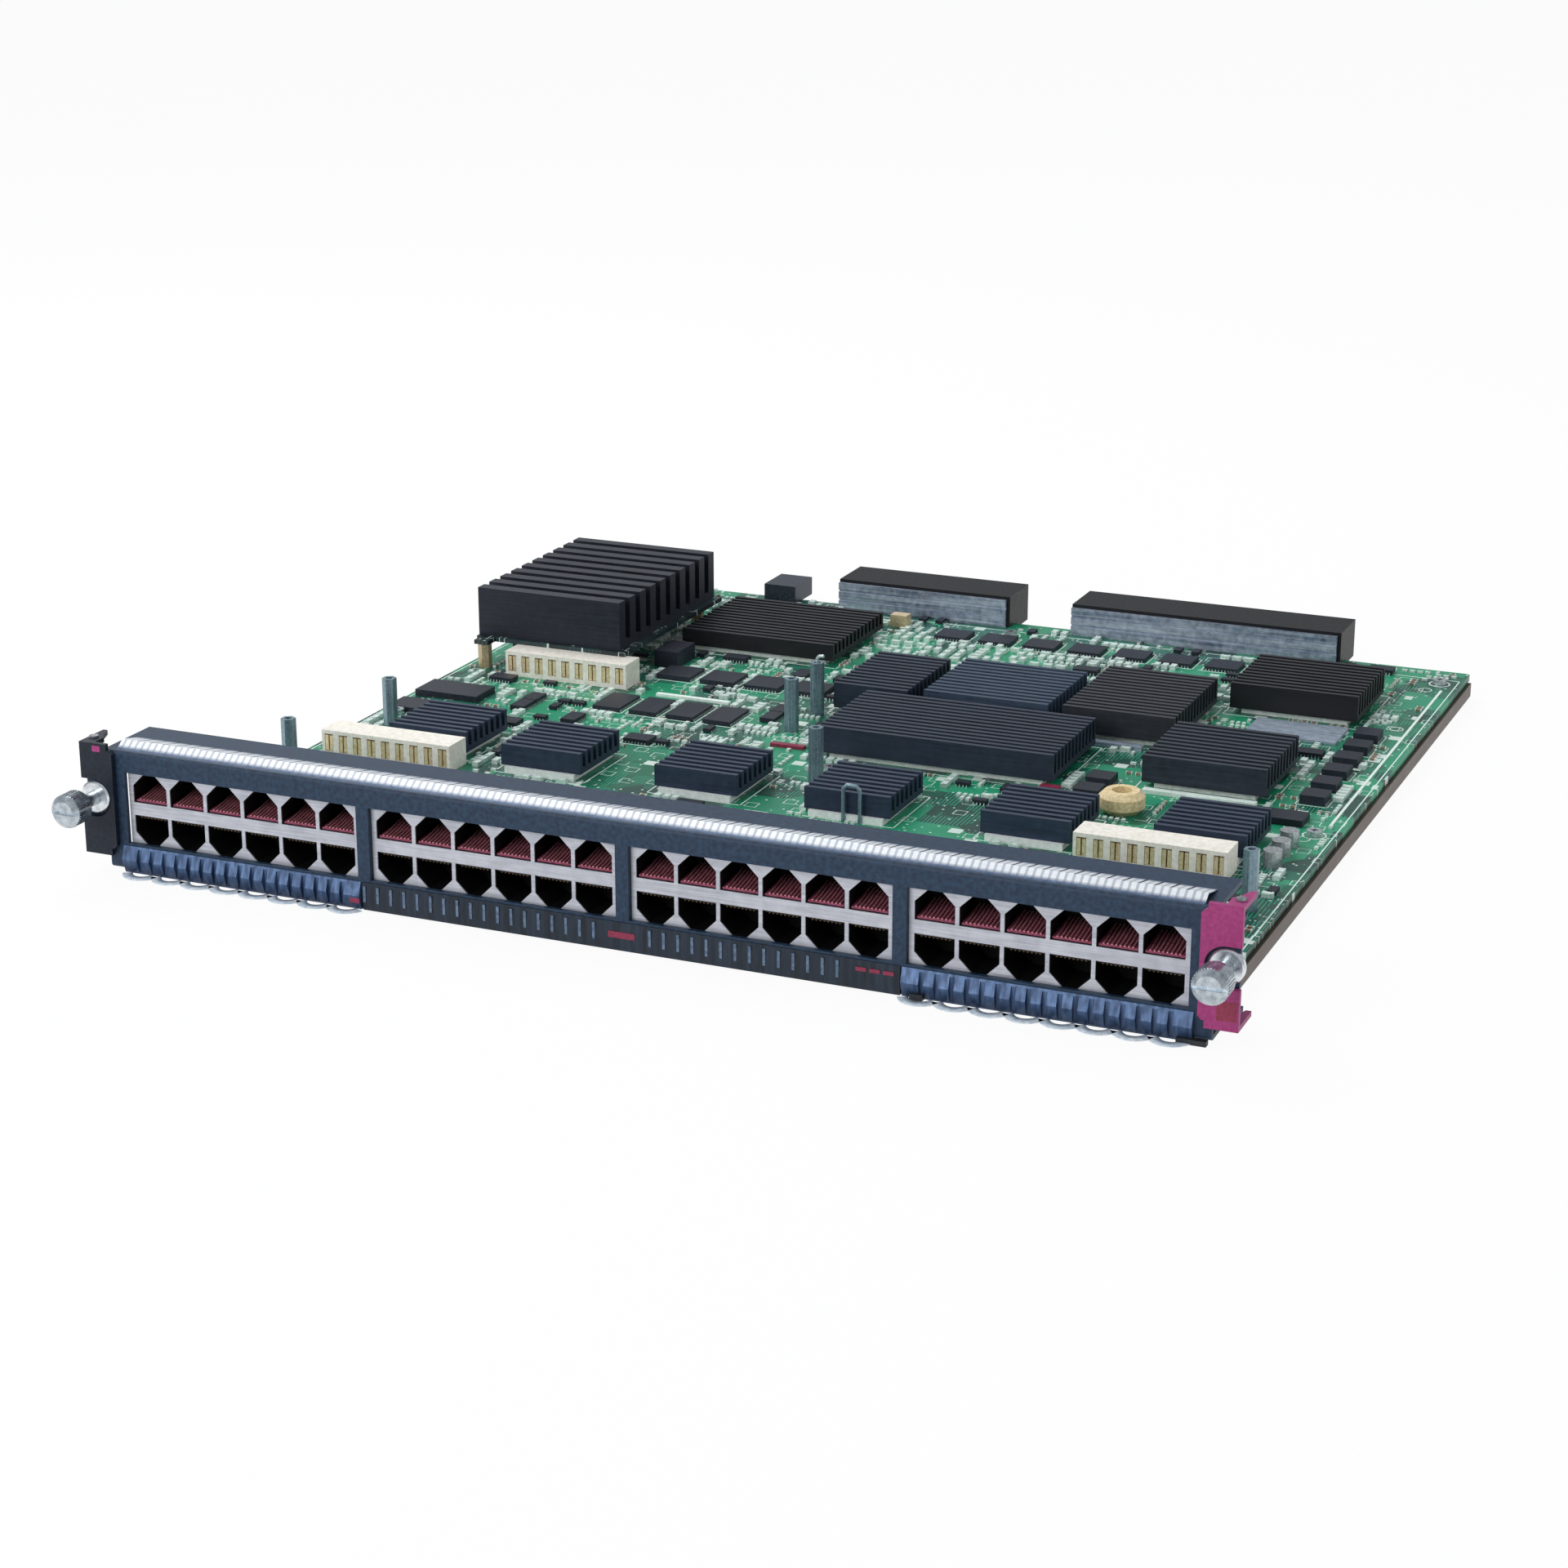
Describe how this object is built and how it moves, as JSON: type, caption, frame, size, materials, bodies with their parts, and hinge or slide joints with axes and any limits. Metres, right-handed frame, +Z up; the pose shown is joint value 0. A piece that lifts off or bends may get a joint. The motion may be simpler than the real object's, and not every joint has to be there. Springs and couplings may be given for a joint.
{
  "type": "switch line card",
  "caption": "Modular network switch line card: slotted faceplate with ganged jacks, sheet-metal tray, circuit board with heat sinks, ejector levers and captive screws.",
  "frame": {"origin": "on the tray's underside, in the faceplate's front plane, at the card's mid-width: the point that a chassis slot is measured from", "axes": "+X along the faceplate to the right as seen from the front, +Y into the chassis, which is the way the card slides in, and +Z up from the tray to the components"},
  "size_m": [0.3912, 0.4095, 0.0448],
  "materials": {
    "tray_steel": "zinc plated sheet",
    "standoff_steel": "plain",
    "circuit_board": "green solder mask",
    "board_screw_steel": "plated",
    "face_paint": "satin dark blue paint",
    "face_screw_steel": "plated",
    "top_gasket_metal": "bright tin plate",
    "bottom_gasket_metal": "tin plate, dulled",
    "port_chip": "package edge",
    "core_chip": "package edge",
    "package_black": "moulded",
    "rear_sink": "black anodised",
    "module_circuit_board": "dark solder mask",
    "module_sink": "black anodised",
    "module_post": "plain",
    "board_post": "plain",
    "connector_black": "moulded",
    "connector_wafer": "plated shields",
    "guide_metal": "die cast",
    "inductor_cream": "moulded",
    "capacitor_can": "plain can",
    "shield_nickel": "nickel plated",
    "jack_plastic": "moulded",
    "contact_plastic": "moulded",
    "port_sink": "dark blue anodised",
    "core_sink": "dark blue anodised",
    "socket_white": "moulded",
    "lever_left_paint": "satin dark blue paint",
    "lever_right_paint": "satin magenta face",
    "pin_steel": "plain",
    "collar_chrome": "polished",
    "thumb_screw_steel": "nickel plated",
    "clip_steel": "spring steel"
  },
  "bodies": {
    "card": {"backplane_housing_left": "connector_black", "backplane_housing_right": "connector_black", "backplane_wafers_left": "connector_wafer", "backplane_wafers_right": "connector_wafer", "board_packages": "package_black", "board_posts": "board_post", "board_screws": "board_screw_steel", "bottom_gasket": "bottom_gasket_metal", "capacitors": "capacitor_can", "card_socket_left": "socket_white", "card_socket_middle": "socket_white", "card_socket_right": "socket_white", "carrier_tray": "tray_steel", "core_chips": "core_chip", "core_heat_sink_1": "core_sink", "core_heat_sink_2": "core_sink", "core_heat_sink_3": "core_sink", "core_heat_sink_4": "core_sink", "core_heat_sink_5": "core_sink", "core_heat_sink_6": "core_sink", "faceplate": "face_paint", "faceplate_screws": "face_screw_steel", "guide_block": "guide_metal", "inductor": "inductor_cream", "lever_pins_left": "pin_steel", "lever_pins_right": "pin_steel", "main_board": "circuit_board", "module_board": "module_circuit_board", "module_heat_sink": "module_sink", "module_posts": "module_post", "port_chips": "port_chip", "port_contacts_1": "contact_plastic", "port_contacts_2": "contact_plastic", "port_contacts_3": "contact_plastic", "port_contacts_4": "contact_plastic", "port_heat_sink_1": "port_sink", "port_heat_sink_2": "port_sink", "port_heat_sink_3": "port_sink", "port_heat_sink_4": "port_sink", "port_heat_sink_5": "port_sink", "port_heat_sink_6": "port_sink", "port_housing_1": "jack_plastic", "port_housing_2": "jack_plastic", "port_housing_3": "jack_plastic", "port_housing_4": "jack_plastic", "port_shield_1": "shield_nickel", "port_shield_2": "shield_nickel", "port_shield_3": "shield_nickel", "port_shield_4": "shield_nickel", "rear_heat_sink": "rear_sink", "screw_collar_left": "collar_chrome", "screw_collar_right": "collar_chrome", "top_gasket": "top_gasket_metal", "tray_standoffs": "standoff_steel"},
    "lever_left": {"lever_left": "lever_left_paint"},
    "lever_right": {"lever_right": "lever_right_paint"},
    "clip_left": {"screw_clip_left": "clip_steel"},
    "clip_right": {"screw_clip_right": "clip_steel"},
    "screw_left": {"thumb_screw_left": "thumb_screw_steel"},
    "screw_right": {"thumb_screw_right": "thumb_screw_steel"}
  },
  "joints": [
    {"name": "lever_left_swing", "type": "hinge", "parent": "card", "child": "lever_left", "pos_m": [-0.19233, 0.0032, 0], "axis": [0, 0, -1], "range_deg": [0, 28]},
    {"name": "screw_left_travel", "type": "slide", "parent": "card", "child": "clip_left", "axis": [0, -1, 0], "range_m": [-0.0065, 0]},
    {"name": "screw_left_turn", "type": "hinge", "parent": "clip_left", "child": "screw_left", "pos_m": [-0.19013, 0, 0.0252], "axis": [0, 1, 0], "continuous": true},
    {"name": "lever_right_swing", "type": "hinge", "parent": "card", "child": "lever_right", "pos_m": [0.19233, 0.0032, 0], "axis": [0, 0, 1], "range_deg": [0, 28]},
    {"name": "screw_right_travel", "type": "slide", "parent": "card", "child": "clip_right", "axis": [0, -1, 0], "range_m": [-0.0065, 0]},
    {"name": "screw_right_turn", "type": "hinge", "parent": "clip_right", "child": "screw_right", "pos_m": [0.19013, 0, 0.0252], "axis": [0, 1, 0], "continuous": true}
  ]
}
